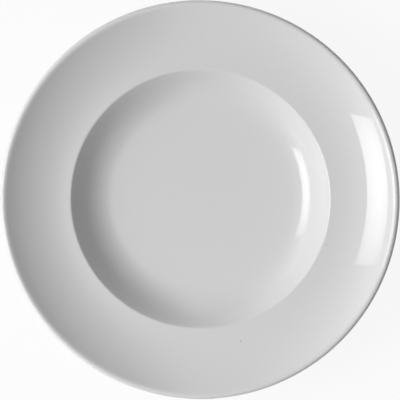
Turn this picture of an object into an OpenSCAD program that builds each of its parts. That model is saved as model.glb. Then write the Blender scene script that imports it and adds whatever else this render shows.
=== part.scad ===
// Rimmed soup plate of glazed hotel porcelain.
//
// Half of the plate's section is a chain of arcs, each tangent to the next. Turned once round the
// Z axis it gives the fired body and the two coats of glaze that it carries. Z = 0 is the table.

/* [Plate] */
// Diameter over the lip
plate_d = 230; // [205:1:320]

/* [Well] */
// Diameter at the crease, where the well meets the rim
well_d = 150; // [134:1:172]
// Height of the crease above the floor of the well
well_depth = 14.5; // [12:0.5:26]
// Lean of the wall above level, in degrees
wall_angle = 50; // [42:1:65]
// Radius that sweeps the floor up into the wall
well_curve_r = 25; // [12:1:50]
// Rounding over the crease
crease_r = 1.8; // [0.6:0.1:3]

/* [Rim] */
// Height of the lip's top above the crease
rim_rise = 12; // [9:0.5:20]
// Lean of the rim above level where it leaves the crease, in degrees
rim_start_angle = 1; // [0:0.5:5]
// Radius of the crown, which eases the face of the rim over into the lip
crown_r = 6; // [4:0.5:12]
// Lean of the crown above level where the round of the lip takes over, in degrees
crown_end_angle = 18; // [5:1:22]

/* [Walls] */
// Thickness of the lip, whose edge is a full round
lip_t = 3.6; // [3:0.1:5.5]
// Thickness of the wall of the well
wall_t = 4.8; // [3.5:0.1:6]
// Thickness of the floor of the well
floor_t = 5; // [3.5:0.1:8]
// Radius of the hollow under the crease
back_crease_r = 7; // [3:0.5:12]

/* [Foot ring] */
// Outside diameter of the bare standing face
foot_d = 116; // [96:1:124]
// Width of the bare standing face
foot_w = 3.2; // [2:0.1:6]
// Height of the recess inside the foot ring
foot_h = 3.5; // [2.5:0.1:5]
// Lean of both sides of the foot ring away from upright, in degrees
foot_draft = 14; // [4:1:25]
// Rounding of the edges of the standing face
foot_edge_r = 0.5; // [0.2:0.1:0.9]
// Radius where the back of the plate runs down into the foot ring
foot_fillet_r = 3; // [1:0.5:6]
// Radius where the recess runs down into the foot ring
recess_fillet_r = 1.8; // [0.6:0.1:2.2]

/* [Glaze] */
// Thickness of the glaze
glaze_t = 0.3; // [0.15:0.05:0.5]
// Height up the foot ring from which the glaze is wiped off
glaze_stop_h = 0.8; // [0.7:0.05:1]

/* [Fineness] */
// Most degrees that one step of an arc in the section turns
arc_step = 3; // [1:0.5:6]
// Steps in one turn round the axis
turn_steps = 180; // [60:10:360]

/* [Hidden] */

// Heights of the finished surfaces above the table
floor_z = foot_h + floor_t;
crease_z = floor_z + well_depth;
lip_top_z = crease_z + rim_rise;

// Directions of the outward normals of the level and straight stretches, in degrees
up = 90;
down = -90;
wall_normal = up + wall_angle;
back_wall_normal = down + wall_angle;
rim_start_normal = up + rim_start_angle;
foot_outside_normal = -foot_draft;
foot_inside_normal = -180 + foot_draft;

function dir(angle) = [cos(angle), sin(angle)];
function angle_of(v) = atan2(v.y, v.x);

// An arc of the section is [centre, radius, first angle, last angle]. Its angles are those of the
// outward normal. Its radius is above zero where the surface bulges and below zero where it is
// hollow, so a surface that lies grow further out has the same centre and radius + grow.
function arc_point(arc, angle, grow) = arc[0] + (arc[1] + grow) * dir(angle);
function arc_end(arc) = arc_point(arc, arc[3], 0);

// The arc that rounds the corner p between two straight stretches with the normals a and b
function corner_arc(p, radius, a, b) =
    [p - radius * (dir(a) + dir(b)) / (1 + dir(a) * dir(b)), radius, a, b];

// A point with no rounding, on a stretch with the normal a
function plain_point(p, a) = [p, 0, a, a];

// The hollow arc that blends a bulging arc into the straight stretch through p with the normal b
function blend_arc(arc, p, radius, b) =
    let (
        reach = arc[1] + radius,
        off = (p - arc[0]) * dir(b) + radius,
        centre = arc[0] + off * dir(b) - sqrt(reach * reach - off * off) * dir(b + up)
    )
    [centre, -radius, angle_of(centre - arc[0]), b];

// The hollow arc that blends one bulging arc into another
function blend_arcs(a, b, radius) =
    let (
        reach_a = a[1] + radius,
        reach_b = b[1] + radius,
        apart = norm(b[0] - a[0]),
        opening = acos((reach_a * reach_a + apart * apart - reach_b * reach_b)
            / (2 * reach_a * apart)),
        centre = a[0] + reach_a * dir(angle_of(b[0] - a[0]) + opening)
    )
    [centre, -radius, angle_of(centre - a[0]), angle_of(centre - b[0])];

// Points along a chain of arcs, with the surface moved grow further out
function skin(arcs, grow) = [
    for (arc = arcs)
        let (turn = arc[3] - arc[2], steps = ceil(abs(turn) / arc_step))
            for (k = [0 : steps])
                arc_point(arc, arc[2] + turn * k / max(steps, 1), grow)
];

function reversed(list) = [for (k = [len(list) - 1 : -1 : 0]) list[k]];

// Face of the well. Its curve takes no more of the wall and of the floor than there is.
crease_corner = [well_d / 2, crease_z];
floor_corner = [well_d / 2 - well_depth / tan(wall_angle), floor_z];
wall_length = well_depth / sin(wall_angle) - crease_r * tan((wall_angle - rim_start_angle) / 2);
well_curve = min(well_curve_r, min(wall_length, floor_corner.x) / tan(wall_angle / 2));
well_arc = corner_arc(floor_corner, -well_curve, up, wall_normal);
crease_arc = corner_arc(crease_corner, crease_r, wall_normal, rim_start_normal);

// Face of the rim: a hollow arc that leaves the crease and touches the crown, which bulges and
// touches the round of the lip
lip_r = lip_t / 2;
lip_centre = [plate_d / 2 - lip_r, lip_top_z - lip_r];
crown_end_normal = up + crown_end_angle;
crown_centre = lip_centre - (crown_r - lip_r) * dir(crown_end_normal);
crease_to_crown = arc_end(crease_arc) - crown_centre;
rim_curve = (crease_to_crown * crease_to_crown - crown_r * crown_r)
    / (2 * (crown_r - crease_to_crown * dir(rim_start_normal)));
rim_centre = arc_end(crease_arc) + rim_curve * dir(rim_start_normal);
rim_end_normal = angle_of(rim_centre - crown_centre);
rim_arc = [rim_centre, -rim_curve, rim_start_normal, rim_end_normal];
crown_arc = [crown_centre, crown_r, rim_end_normal, crown_end_normal];
lip_arc = [lip_centre, lip_r, crown_end_normal, angle_of(lip_centre - rim_centre)];

// Back of the rim, which has the centre of the face and touches the round of the lip, and back of
// the well, which follows the face at the thickness of the wall
rim_back = [rim_centre, norm(lip_centre - rim_centre) + lip_r, lip_arc[3], down];
shoulder = [well_arc[0], well_curve + wall_t, back_wall_normal, down];
back_wall_point = crease_corner + wall_t * dir(back_wall_normal);

// The hollow under the crease ends on the straight back of the wall, or on the shoulder below it
// where the straight stretch is too short
hollow_on_wall = blend_arc(rim_back, back_wall_point, back_crease_r, back_wall_normal);
wall_left = (arc_end(hollow_on_wall) - arc_point(shoulder, back_wall_normal, 0)) * dir(wall_angle);
back_crease_arc = wall_left > 0 ? hollow_on_wall : blend_arcs(rim_back, shoulder, back_crease_r);
rim_back_arc = [rim_back[0], rim_back[1], rim_back[2], back_crease_arc[2]];

// Foot ring. The body is bare there, so its corners lie one glaze inside the glazed surface.
foot_outside_corner = [foot_d / 2, 0];
foot_inside_corner = [foot_d / 2 - foot_w, 0];
foot_outside_point = foot_outside_corner + glaze_t * dir(foot_outside_normal);
foot_inside_point = foot_inside_corner + glaze_t * dir(foot_inside_normal);
foot_fillet_arc = blend_arc(shoulder, foot_outside_point, foot_fillet_r, foot_outside_normal);
shoulder_arc = [shoulder[0], shoulder[1], back_crease_arc[3], foot_fillet_arc[2]];
recess_corner = [foot_inside_point.x - (foot_h - foot_inside_point.y) * tan(foot_draft), foot_h];
recess_arc = corner_arc(recess_corner, -recess_fillet_r, foot_inside_normal, down);

function glazed(arc) = [arc[0], arc[1] + glaze_t, arc[2], arc[3]];
function up_the_side(p, lean) = p + [lean * tan(foot_draft), 1] * (glaze_stop_h - p.y);

// The glazed surface, from the middle of the floor over the lip to where the glaze is wiped off
outside_arcs = [
    plain_point([0, floor_z], up),
    well_arc,
    crease_arc,
    rim_arc,
    crown_arc,
    lip_arc,
    rim_back_arc,
    back_crease_arc,
    shoulder_arc,
    foot_fillet_arc,
    plain_point(up_the_side(foot_outside_point, 1), foot_outside_normal)
];

// The standing face of the foot ring, bare of glaze
standing_arcs = [
    glazed(corner_arc(foot_outside_corner, foot_edge_r, foot_outside_normal, down)),
    glazed(corner_arc(foot_inside_corner, foot_edge_r, down, foot_inside_normal))
];

// The glazed surface of the recess, from where the glaze starts to the middle
recess_arcs = [
    plain_point(up_the_side(foot_inside_point, -1), foot_inside_normal),
    recess_arc,
    plain_point([0, foot_h], down)
];

module turned(section) {
    rotate_extrude($fn = turn_steps) polygon(section);
}

// A coat of glaze fills the space from the body to the glazed surface
module glaze_coat(arcs) {
    turned(concat(skin(arcs, 0), reversed(skin(arcs, -glaze_t))));
}

module porcelain_body() {
    color("antiquewhite") turned(skin(concat(outside_arcs, standing_arcs, recess_arcs), -glaze_t));
}

module outer_glaze() {
    color("gainsboro") glaze_coat(outside_arcs);
}

module foot_recess_glaze() {
    color("gainsboro") glaze_coat(recess_arcs);
}

porcelain_body();
outer_glaze();
foot_recess_glaze();
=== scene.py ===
# %% [markdown]
# A rimmed soup plate of glazed porcelain, seen from above.
#
# A potter presses such a plate between a plaster mould and a turning tool, so every part of it is a
# solid of revolution. The lesson does the same: it draws half of the section once and turns it
# round the axis. The CAD frame gives the place and the size. It stays as it is underneath, and
# smoother forms with the same section stand in for its faceted ones.

# %% Load the frame
import math
from collections import namedtuple

import bmesh
import bpy
from mathutils import Matrix, Vector


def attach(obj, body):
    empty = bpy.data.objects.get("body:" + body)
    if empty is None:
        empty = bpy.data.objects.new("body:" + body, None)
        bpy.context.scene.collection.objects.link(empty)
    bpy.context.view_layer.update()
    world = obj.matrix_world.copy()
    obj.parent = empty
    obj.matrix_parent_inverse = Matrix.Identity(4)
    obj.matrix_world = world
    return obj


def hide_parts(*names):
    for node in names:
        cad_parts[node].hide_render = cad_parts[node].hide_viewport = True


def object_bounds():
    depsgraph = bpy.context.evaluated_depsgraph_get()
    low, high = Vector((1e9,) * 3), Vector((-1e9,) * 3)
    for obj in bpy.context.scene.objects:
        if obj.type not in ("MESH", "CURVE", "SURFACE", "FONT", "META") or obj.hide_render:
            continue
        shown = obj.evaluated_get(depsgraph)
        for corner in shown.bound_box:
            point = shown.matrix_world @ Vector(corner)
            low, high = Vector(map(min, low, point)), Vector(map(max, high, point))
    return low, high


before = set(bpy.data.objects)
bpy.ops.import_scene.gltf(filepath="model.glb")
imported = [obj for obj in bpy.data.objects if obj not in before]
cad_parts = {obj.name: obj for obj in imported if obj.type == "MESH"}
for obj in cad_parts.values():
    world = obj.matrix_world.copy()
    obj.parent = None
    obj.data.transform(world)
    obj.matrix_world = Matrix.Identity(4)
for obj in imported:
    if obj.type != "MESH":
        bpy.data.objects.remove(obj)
cad_low, cad_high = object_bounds()
print("frame nodes:", ", ".join(sorted(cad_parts)))
print("CAD box in mm:", [round(v * 1000, 2) for v in (*cad_low, *cad_high)])

# %% [markdown]
# The section is a chain of arcs, each tangent to the next, which is how a turning tool is drawn.
# A list of points would give the same line, but an arc keeps its meaning: its centre, its radius,
# and the direction of the surface's normal at both of its ends. A radius above zero bulges, and one
# below zero is hollow, so the same arc with a little added is the surface of a coat on top.

# %% Name the arc and its directions
Arc = namedtuple("Arc", "centre radius start end")
UP = 90
DOWN = -90


def direction(degrees):
    return Vector((math.cos(math.radians(degrees)), math.sin(math.radians(degrees))))


def bearing(vector):
    return math.degrees(math.atan2(vector.y, vector.x))


def point_on(arc, degrees, grow=0):
    return arc.centre + (arc.radius + grow) * direction(degrees)


def round_corner(corner, radius, start, end):
    """The arc that rounds a corner between two straight stretches with these normals."""
    a, b = direction(start), direction(end)
    return Arc(corner - radius * (a + b) / (1 + a.dot(b)), radius, start, end)


def plain_point(point, normal):
    return Arc(point, 0, normal, normal)


# %% [markdown]
# Sizes in metres. The outside diameter and the height come from the frame. The others are the ones
# the plate is drawn with: the well with its wall, the rim that steepens outwards, the soft crown
# that runs into the round lip, and the foot ring.

# %% Write down the sizes
PLATE_R = cad_high.x
LIP_TOP_Z = cad_high.z
RIM_RISE = 0.012
RIM_START_ANGLE = 1
WELL_R = 0.075
WELL_DEPTH = 0.0145
WALL_ANGLE = 50
WELL_CURVE = 0.025
CREASE_R = 0.0018
CROWN_R = 0.006
CROWN_END_ANGLE = 18
LIP_R = 0.0036 / 2
WALL_T = 0.0048
BACK_CREASE_R = 0.007
FOOT_R = 0.058
FOOT_W = 0.0032
FOOT_H = 0.0035
FOOT_DRAFT = 14
FOOT_EDGE_R = 0.0005
FOOT_FILLET_R = 0.003
RECESS_FILLET_R = 0.0018
GLAZE_T = 0.0003
GLAZE_STOP_H = 0.0008

crease_z = LIP_TOP_Z - RIM_RISE
floor_z = crease_z - WELL_DEPTH
print(f"plate {PLATE_R * 2000:.1f} mm across, well floor {floor_z * 1000:.2f} mm above the table")

# %% [markdown]
# The face of the plate, from the middle of the well to the lip. The well's curve runs up into a
# straight wall, and a small round takes that over the crease. The rim is one hollow arc: it starts
# where the crease ends, and its radius follows from touching the crown.

# %% Lay out the face
wall_normal = UP + WALL_ANGLE
rim_start = UP + RIM_START_ANGLE
floor_corner = Vector((WELL_R - WELL_DEPTH / math.tan(math.radians(WALL_ANGLE)), floor_z))
well = round_corner(floor_corner, -WELL_CURVE, UP, wall_normal)
crease = round_corner(Vector((WELL_R, crease_z)), CREASE_R, wall_normal, rim_start)

lip_centre = Vector((PLATE_R - LIP_R, LIP_TOP_Z - LIP_R))
crown_end = UP + CROWN_END_ANGLE
crown_centre = lip_centre - (CROWN_R - LIP_R) * direction(crown_end)
rim_foot = point_on(crease, rim_start)
reach = rim_foot - crown_centre
rim_curve = (reach.dot(reach) - CROWN_R**2) / (2 * (CROWN_R - reach.dot(direction(rim_start))))
rim_centre = rim_foot + rim_curve * direction(rim_start)
rim_end = bearing(rim_centre - crown_centre)
back_start = bearing(lip_centre - rim_centre)
rim = Arc(rim_centre, -rim_curve, rim_start, rim_end)
crown = Arc(crown_centre, CROWN_R, rim_end, crown_end)
lip = Arc(lip_centre, LIP_R, crown_end, back_start)
print(f"rim curve {rim_curve * 1000:.1f} mm, steepest lean {rim_end - UP:.1f} degrees")

# %% [markdown]
# The back. A turning tool leaves it nearly parallel to the face, with a soft hollow under the crease
# and a fillet where it runs down into the foot ring. Each of these two is an arc that touches a
# bulging arc on one side and a straight line on the other, so one function places both.


# %% Lay out the back and the foot ring
def blend_into_line(arc, point, radius, normal):
    """The hollow arc that touches a bulging arc and the straight line through point."""
    out = direction(normal)
    off = (point - arc.centre).dot(out) + radius
    along = math.sqrt((arc.radius + radius) ** 2 - off**2)
    centre = arc.centre + off * out - along * direction(normal + 90)
    return Arc(centre, -radius, bearing(centre - arc.centre), normal)


outside_normal = -FOOT_DRAFT
inside_normal = FOOT_DRAFT - 180
foot_outside = Vector((FOOT_R, 0)) + GLAZE_T * direction(outside_normal)
foot_inside = Vector((FOOT_R - FOOT_W, 0)) + GLAZE_T * direction(inside_normal)
lean = math.tan(math.radians(FOOT_DRAFT))

rim_back_r = (lip_centre - rim_centre).length + LIP_R
rim_back = Arc(rim_centre, rim_back_r, back_start, DOWN)
shoulder = Arc(well.centre, WELL_CURVE + WALL_T, DOWN + WALL_ANGLE, DOWN)
wall_back = Vector((WELL_R, crease_z)) + WALL_T * direction(DOWN + WALL_ANGLE)
back_crease = blend_into_line(rim_back, wall_back, BACK_CREASE_R, DOWN + WALL_ANGLE)
foot_fillet = blend_into_line(shoulder, foot_outside, FOOT_FILLET_R, outside_normal)
recess_x = foot_inside.x - (FOOT_H - foot_inside.y) * lean
recess = round_corner(Vector((recess_x, FOOT_H)), -RECESS_FILLET_R, inside_normal, DOWN)


def up_the_side(point, side):
    """Where the glaze stops, on the side of the foot ring that leans out (1) or in (-1)."""
    return point + Vector((side * lean, 1)) * (GLAZE_STOP_H - point.y)


outside = [
    plain_point(Vector((0, floor_z)), UP),
    well,
    crease,
    rim,
    crown,
    lip,
    rim_back._replace(end=back_crease.start),
    back_crease,
    shoulder._replace(end=foot_fillet.start),
    foot_fillet,
    plain_point(up_the_side(foot_outside, 1), outside_normal),
]
standing = [
    round_corner(Vector((FOOT_R, 0)), FOOT_EDGE_R, outside_normal, DOWN),
    round_corner(Vector((FOOT_R - FOOT_W, 0)), FOOT_EDGE_R, DOWN, inside_normal),
]
inside_foot = [
    plain_point(up_the_side(foot_inside, -1), inside_normal),
    recess,
    plain_point(Vector((0, FOOT_H)), DOWN),
]
print("arcs:", len(outside), "outside,", len(standing), "standing,", len(inside_foot), "recess")

# %% [markdown]
# Drawing the section. A vertex is the pen: spin swings it round an arc's centre and leaves an edge
# for each step, and extrude carries it along a straight stretch. The number of steps follows from
# how far a chord may stray from its arc, so a tight round gets as smooth a line as a wide one.

# %% Draw a section with a moving vertex
ACROSS = (0, -1, 0)
LONGEST_STRETCH = 0.006


def carry(bm, pen, target):
    """Extrudes the pen in a straight line to a point of the section."""
    way = Vector((target.x, 0, target.y)) - pen.co
    steps = max(1, math.ceil(way.length / LONGEST_STRETCH))
    for _ in range(steps):
        pen = bmesh.ops.extrude_vert_indiv(bm, verts=[pen])["verts"][0]
        bmesh.ops.translate(bm, verts=[pen], vec=way / steps)
    return pen


def swing(bm, pen, centre, degrees, radius, stray):
    """Spins the pen round a centre, in steps whose chords stray that little from the arc."""
    step = 2 * math.acos(1 - stray / abs(radius))
    made = bmesh.ops.spin(
        bm,
        geom=[pen],
        cent=(centre.x, 0, centre.y),
        axis=ACROSS,
        angle=math.radians(degrees),
        steps=max(1, math.ceil(math.radians(abs(degrees)) / step)),
        use_duplicate=False,
    )
    return next(v for v in made["geom_last"] if isinstance(v, bmesh.types.BMVert))


def draw(bm, pen, arcs, grow, stray):
    """Draws a chain of arcs, moved grow outwards, on from the pen. No pen starts a new line."""
    for arc in arcs:
        begin = point_on(arc, arc.start, grow)
        if pen is None:
            pen = bm.verts.new((begin.x, 0, begin.y))
        elif (Vector((begin.x, 0, begin.y)) - pen.co).length > stray:
            pen = carry(bm, pen, begin)
        if arc.start != arc.end:
            pen = swing(bm, pen, arc.centre, arc.end - arc.start, arc.radius + grow, stray)
    return pen


def backwards(arcs):
    return [arc._replace(start=arc.end, end=arc.start) for arc in reversed(arcs)]


# %% [markdown]
# Turning. The finished line is spun once round the upright axis, as on a potter's wheel, and
# use_merge closes the seam. The pen's ends lie on the axis, where each makes a whole ring of
# vertices in one place, so doubles are merged, and then the normals are turned outwards.

# %% Turn a section into a piece
TURN_STEPS = 180
MERGE = 0.000001


def turn(name, draw_section):
    """Makes one piece of the line that draw_section leaves in the mesh."""
    bm = bmesh.new()
    draw_section(bm)
    bmesh.ops.spin(
        bm,
        geom=bm.verts[:] + bm.edges[:],
        cent=(0, 0, 0),
        axis=(0, 0, 1),
        angle=math.tau,
        steps=TURN_STEPS,
        use_merge=True,
        use_duplicate=False,
    )
    bmesh.ops.remove_doubles(bm, verts=bm.verts, dist=MERGE)
    bmesh.ops.recalc_face_normals(bm, faces=bm.faces)
    for face in bm.faces:
        face.smooth = True
    open_edges = sum(1 for edge in bm.edges if len(edge.link_faces) != 2)
    mesh = bpy.data.meshes.new(name)
    bm.to_mesh(mesh)
    bm.free()
    piece = bpy.data.objects.new(name, mesh)
    bpy.context.scene.collection.objects.link(piece)
    print(f"{name}: {len(mesh.polygons)} faces, {open_edges} open edges")
    return piece


# %% [markdown]
# The fired body. It is one piece of clay, foot ring and all, and only the ground face of the foot
# ring stays bare. Everything else lies one glaze deeper than the finished surface, so the same
# chain is drawn with less added.

# %% Turn the fired body
BODY_STRAY = 0.00001


def body_section(bm):
    pen = draw(bm, None, outside, -GLAZE_T, BODY_STRAY)
    pen = draw(bm, pen, standing, 0, BODY_STRAY)
    draw(bm, pen, inside_foot, -GLAZE_T, BODY_STRAY)


fired_body = turn("fired_body", body_section)

# %% [markdown]
# The glaze is a skin of glass a third of a millimetre thick. It is melted on in two coats that
# never meet, because the foot ring is wiped clean before the firing. A coat could be made with
# Solidify, but drawing both of its sides keeps them exactly on the body. Where the glaze was wiped
# it melts back into a round bead, and half a turn of the pen makes it.

# %% Turn the two coats of glaze
COAT_STRAY = 0.000004
UNDERSIDE_STRAY = 0.000016
BEAD_STRAY = 0.000003


def coat_section(bm, arcs, bead_first):
    """Both sides of a coat, which is open on the axis and ends in a bead at the foot ring."""
    chain = backwards(arcs) if bead_first else arcs
    pen = draw(bm, None, chain, 0, COAT_STRAY)
    last = chain[-1]
    edge = point_on(last, last.start, -GLAZE_T / 2)
    half_turn = 180 if bead_first else -180
    pen = swing(bm, pen, edge, half_turn, GLAZE_T / 2, BEAD_STRAY)
    draw(bm, pen, backwards(chain), -GLAZE_T, UNDERSIDE_STRAY)


outer_coat = turn("outer_coat", lambda bm: coat_section(bm, outside, False))
recess_coat = turn("recess_coat", lambda bm: coat_section(bm, inside_foot, True))

# %% [markdown]
# Each piece stands for one CAD node and rides on the only body that the plate has.

# %% Tie the pieces to the frame
for piece, node, slot in (
    (fired_body, "porcelain_body", "porcelain"),
    (outer_coat, "outer_glaze", "glaze"),
    (recess_coat, "foot_recess_glaze", "glaze"),
):
    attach(piece, "root")
    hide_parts(node)

# %% [markdown]
# Shader maths reads best as arithmetic. A small class wraps a socket and overloads the operators,
# so that an expression on values adds the Math nodes by itself. A second class holds the nodes of
# one material, lamp or world. One of its methods adds any node, and the others are shorthand for
# the nodes that come back most.

# %% Make sockets behave like numbers
MIX_FACTOR = 0
MIX_FIRST = 6
MIX_SECOND = 7
MIX_RESULT = 2


class Value:
    """A node's output that can stand in an expression."""

    def __init__(self, graph, socket):
        self.graph = graph
        self.socket = socket

    def __add__(self, other):
        return self.graph.maths("ADD", self, other)

    def __sub__(self, other):
        return self.graph.maths("SUBTRACT", self, other)

    def __rsub__(self, other):
        return self.graph.maths("SUBTRACT", other, self)

    def __mul__(self, other):
        return self.graph.maths("MULTIPLY", self, other)

    def __truediv__(self, other):
        return self.graph.maths("DIVIDE", self, other)

    def __pow__(self, other):
        return self.graph.maths("POWER", self, other)

    __radd__ = __add__


class Graph:
    """The nodes of one material, lamp or world."""

    def __init__(self, owner):
        owner.use_nodes = True
        self.tree = owner.node_tree
        self.tree.nodes.clear()

    def add(self, kind, settings=None, inputs=None, output=0):
        """Adds a node, makes its settings, then fills its sockets with numbers or links."""
        node = self.tree.nodes.new(kind)
        for name, value in (settings or {}).items():
            setattr(node, name, value)
        for name, value in (inputs or {}).items():
            if isinstance(value, Value):
                self.tree.links.new(value.socket, node.inputs[name])
            else:
                node.inputs[name].default_value = value
        return Value(self, node.outputs[output]) if len(node.outputs) else node

    def maths(self, operation, *inputs):
        return self.add("ShaderNodeMath", {"operation": operation}, dict(enumerate(inputs)))

    def outputs(self, kind, names, inputs=None):
        """Adds a node and gives back those of its outputs that are named."""
        node = self.add(kind, inputs=inputs).socket.node
        return [Value(self, node.outputs[name]) for name in names]

    def noise(self, place, scale, detail):
        sockets = {"Vector": place, "Scale": scale, "Detail": detail}
        return self.add("ShaderNodeTexNoise", inputs=sockets)

    def relief(self, height):
        """Turns a height in metres into a bent normal."""
        sockets = {"Height": height, "Strength": 1.0, "Distance": 1.0}
        return self.add("ShaderNodeBump", inputs=sockets)

    def blend(self, factor, first, second):
        """Mixes two colours. The Mix node has a set of sockets for each kind of value."""
        sockets = {MIX_FACTOR: factor, MIX_FIRST: first, MIX_SECOND: second}
        return self.add("ShaderNodeMix", {"data_type": "RGBA"}, sockets, output=MIX_RESULT)


def new_material(name):
    material = bpy.data.materials.new(name)
    return material, Graph(material)


# %% [markdown]
# The glaze. It is clear glass over a white body, and a Principled shader is just that: the white is
# its base colour, and the glass is its specular layer, with almost no roughness. The IOR is a
# little below that of window glass, which is what the brightness of the reflections asks for. No
# glaze is optically flat. It pulls into long soft waves as it melts, and these bend the edges of
# each reflection a little, so a faint bump with two wavelengths goes on it. Two grains of iron in
# the clay have burnt through the rim as pale specks, each darkest in its middle.

# %% Make the glaze
PORCELAIN_WHITE = (0.80, 0.80, 0.80, 1)
SPECK_COLOUR = (0.50, 0.48, 0.45, 1)
GLAZE_IOR = 1.38
GLAZE_ROUGHNESS = 0.02
WAVE_SCALE = 55
RIPPLE_SCALE = 260
WAVE_DETAIL = 1.0
WAVE_HEIGHT = 0.000030
RIPPLE_HEIGHT = 0.0000020
SPECK_SIZE = 0.0008
SPECKS = ((0.0236, -0.0822, 1.0), (0.0732, -0.0263, 0.7))


def on_the_rim(x, y):
    """The point of the rim's face above x and y."""
    off = math.hypot(x, y) - rim.centre.x
    return (x, y, rim.centre.y - math.sqrt(rim.radius**2 - off**2))


def make_glaze():
    material, graph = new_material("porcelain_glaze")
    place = graph.add("ShaderNodeTexCoord", output="Object")
    waves = graph.noise(place, WAVE_SCALE, WAVE_DETAIL)
    ripples = graph.noise(place, RIPPLE_SCALE, WAVE_DETAIL)
    speck = 0
    for x, y, strength in SPECKS:
        away = graph.add(
            "ShaderNodeVectorMath",
            {"operation": "DISTANCE"},
            {0: place, 1: on_the_rim(x, y)},
            output="Value",
        )
        speck = speck + graph.add(
            "ShaderNodeMapRange",
            {"interpolation_type": "SMOOTHSTEP"},
            {"Value": away, "From Max": SPECK_SIZE, "To Min": strength, "To Max": 0.0},
        )
    shader = graph.add(
        "ShaderNodeBsdfPrincipled",
        inputs={
            "Base Color": graph.blend(speck, PORCELAIN_WHITE, SPECK_COLOUR),
            "Roughness": GLAZE_ROUGHNESS,
            "IOR": GLAZE_IOR,
            "Normal": graph.relief(waves * WAVE_HEIGHT + ripples * RIPPLE_HEIGHT),
        },
    )
    graph.add("ShaderNodeOutputMaterial", inputs={"Surface": shader})
    return material


# %% [markdown]
# The bare foot. Fired porcelain without glaze is dry and a shade warmer, and the ring is ground
# smooth after the firing so that it doesn't scratch the plate below it in a stack. The wheel leaves
# fine rings, which follow the distance from the axis.

# %% Make the bare body
BISQUE = (0.74, 0.71, 0.66, 1)
BISQUE_SHADE = (0.62, 0.58, 0.52, 1)
BISQUE_ROUGHNESS = 0.78
GRAIN_SCALE = 1500
CLOUD_SCALE = 60
GRAIN_DETAIL = 3.0
GRAIN_HEIGHT = 0.00004
GRIND_PITCH = 0.00035
GRIND_HEIGHT = 0.00001


def make_bisque():
    material, graph = new_material("bare_porcelain")
    place = graph.add("ShaderNodeTexCoord", output="Object")
    x, y = graph.outputs("ShaderNodeSeparateXYZ", "XY", {"Vector": place})
    from_axis = (x * x + y * y) ** 0.5
    rings = graph.maths("SINE", from_axis * (math.tau / GRIND_PITCH))
    grain = graph.noise(place, GRAIN_SCALE, GRAIN_DETAIL)
    clouds = graph.noise(place, CLOUD_SCALE, GRAIN_DETAIL)
    shader = graph.add(
        "ShaderNodeBsdfPrincipled",
        inputs={
            "Base Color": graph.blend(clouds, BISQUE, BISQUE_SHADE),
            "Roughness": BISQUE_ROUGHNESS,
            "Normal": graph.relief(grain * GRAIN_HEIGHT + rings * GRIND_HEIGHT),
        },
    )
    graph.add("ShaderNodeOutputMaterial", inputs={"Surface": shader})
    return material


glaze = make_glaze()
bisque = make_bisque()
outer_coat.data.materials.append(glaze)
recess_coat.data.materials.append(glaze)
fired_body.data.materials.append(bisque)
print("materials:", glaze.name, bisque.name)

# %% [markdown]
# The floor is plain and pale. The camera sees it as white paper, and so does anything that mirrors
# it, while the light that it bounces back on the plate stays that of an ordinary pale table.

# %% Lay the floor
FLOOR_SIZE = 6
FLOOR_COLOUR = (0.88, 0.88, 0.88, 1)
PAPER_WHITE = (1, 1, 1, 1)
PAPER_SHARE = 0.9


def make_floor():
    bm = bmesh.new()
    bmesh.ops.create_grid(bm, x_segments=1, y_segments=1, size=FLOOR_SIZE / 2)
    mesh = bpy.data.meshes.new("floor")
    bm.to_mesh(mesh)
    bm.free()
    floor = bpy.data.objects.new("floor", mesh)
    bpy.context.scene.collection.objects.link(floor)
    material, graph = new_material("floor_paper")
    camera, glossy, through = graph.outputs(
        "ShaderNodeLightPath", ("Is Camera Ray", "Is Glossy Ray", "Is Transmission Ray")
    )
    any_view = graph.maths("MINIMUM", camera + glossy + through, 1.0)
    table = graph.add("ShaderNodeBsdfDiffuse", inputs={"Color": FLOOR_COLOUR})
    glow = graph.add("ShaderNodeEmission", inputs={"Color": PAPER_WHITE, "Strength": 1.0})
    paper = graph.add("ShaderNodeMixShader", inputs={0: any_view * PAPER_SHARE, 1: table, 2: glow})
    graph.add("ShaderNodeOutputMaterial", inputs={"Surface": paper})
    floor.data.materials.append(material)


make_floor()

# %% [markdown]
# The light is one softbox to the left and a dim room. The softbox makes the bright band that runs
# down the right of the rim and again down the wall of the well. Its bulb sits near the middle of its
# cloth, so it fades a little towards its edges. The room adds a pale wall behind the softbox and a
# pale strip of ceiling overhead, and two soft bands across the X axis of the world stand for them.
# The camera sees white paper in place of that room, but the glaze goes on mirroring the room itself.

# %% Light it
SOFTBOX_PLACE = Vector((-0.689, -0.142, 0.710))
SOFTBOX_FACES = Vector((0.948, -0.217, -0.233))
SOFTBOX_WIDTH = 0.626
SOFTBOX_HEIGHT = 0.451
SOFTBOX_RADIANCE = 9.9
SOFTBOX_FADE = (0.5, 0.25)
SOFTBOX_BRIGHTEST = (0.11, 0.2)
STRIP_RADIANCE = 1.23
STRIP_X = 0.006
STRIP_WIDTH = 0.175
WALL_RADIANCE = 1.65
WALL_X = -0.83
WALL_WIDTH = 0.15


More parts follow.
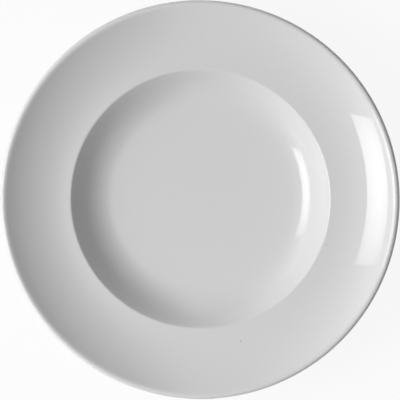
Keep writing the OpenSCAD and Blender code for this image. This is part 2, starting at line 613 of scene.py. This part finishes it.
def light_softbox():
    lamp = bpy.data.lights.new("softbox", "AREA")
    lamp.shape = "RECTANGLE"
    lamp.size = SOFTBOX_WIDTH
    lamp.size_y = SOFTBOX_HEIGHT
    lamp.energy = SOFTBOX_RADIANCE * math.pi * SOFTBOX_WIDTH * SOFTBOX_HEIGHT
    softbox = bpy.data.objects.new("softbox", lamp)
    softbox.location = SOFTBOX_PLACE
    softbox.rotation_euler = SOFTBOX_FACES.to_track_quat("-Z", "Y").to_euler()
    bpy.context.scene.collection.objects.link(softbox)
    graph = Graph(lamp)
    place = graph.add("ShaderNodeTexCoord", output="Object")
    axes = graph.outputs("ShaderNodeSeparateXYZ", "XY", {"Vector": place})
    sizes = (SOFTBOX_WIDTH, SOFTBOX_HEIGHT)
    strength = 1
    for axis, size, fade, brightest in zip(axes, sizes, SOFTBOX_FADE, SOFTBOX_BRIGHTEST):
        off = axis / (size / 2) - brightest
        strength = strength - off * off * fade
    cloth = graph.add("ShaderNodeEmission", inputs={"Strength": strength})
    graph.add("ShaderNodeOutputLight", inputs={"Surface": cloth})


def light_room():
    world = bpy.data.worlds.new("dim_room")
    bpy.context.scene.world = world
    graph = Graph(world)
    way = graph.add("ShaderNodeTexCoord", output="Generated")
    (x,) = graph.outputs("ShaderNodeSeparateXYZ", "X", {"Vector": way})

    def soft_band(middle, width):
        off = (x - middle) / width
        return graph.maths("EXPONENT", off * off * -1)

    strip = soft_band(STRIP_X, STRIP_WIDTH) * STRIP_RADIANCE
    room = strip + soft_band(WALL_X, WALL_WIDTH) * WALL_RADIANCE
    camera, through = graph.outputs(
        "ShaderNodeLightPath", ("Is Camera Ray", "Is Transmission Ray")
    )
    view = graph.maths("MINIMUM", camera + through, 1.0)
    background = graph.add(
        "ShaderNodeBackground",
        inputs={"Color": PAPER_WHITE, "Strength": room * (1 - view) + view},
    )
    graph.add("ShaderNodeOutputWorld", inputs={"Surface": background})


light_softbox()
light_room()
print("lights: one softbox and a dim room")

# %% [markdown]
# The camera looks almost straight down, four degrees off the upright, and the plate fills the
# picture from edge to edge. Blender counts the lens and the sensor in millimetres.

# %% Place the camera
VIEW_HEIGHT = 2.0
VIEW_LEAN = 4.3
VIEW_LEAN_TOWARDS = 58
SENSOR_WIDTH = 36
CLIP_NEAR = 0.05
CLIP_FAR = 20
PLATE_SHARE = 399.7 / 400
AIM = Vector((0.00026, 0.00019, LIP_TOP_Z - LIP_R))


def place_camera():
    data = bpy.data.cameras.new("camera")
    data.sensor_width = SENSOR_WIDTH
    seen_width = 2 * PLATE_R / PLATE_SHARE
    data.lens = SENSOR_WIDTH * VIEW_HEIGHT / seen_width
    data.clip_start = CLIP_NEAR
    data.clip_end = CLIP_FAR
    camera = bpy.data.objects.new("camera", data)
    towards, off = math.radians(VIEW_LEAN_TOWARDS), math.radians(VIEW_LEAN)
    away = Vector(
        (math.cos(towards) * math.sin(off), math.sin(towards) * math.sin(off), math.cos(off))
    )
    right = Vector((0, 1, 0)).cross(away).normalized()
    upward = away.cross(right)
    turned = Matrix((right, upward, away)).transposed().to_4x4()
    camera.matrix_world = Matrix.Translation(AIM + away * VIEW_HEIGHT) @ turned
    bpy.context.scene.collection.objects.link(camera)
    bpy.context.scene.camera = camera
    print(f"camera {data.lens:.1f} mm lens, {VIEW_HEIGHT * 1000:.0f} mm from the lip")


place_camera()
bpy.context.scene.view_settings.view_transform = "Standard"
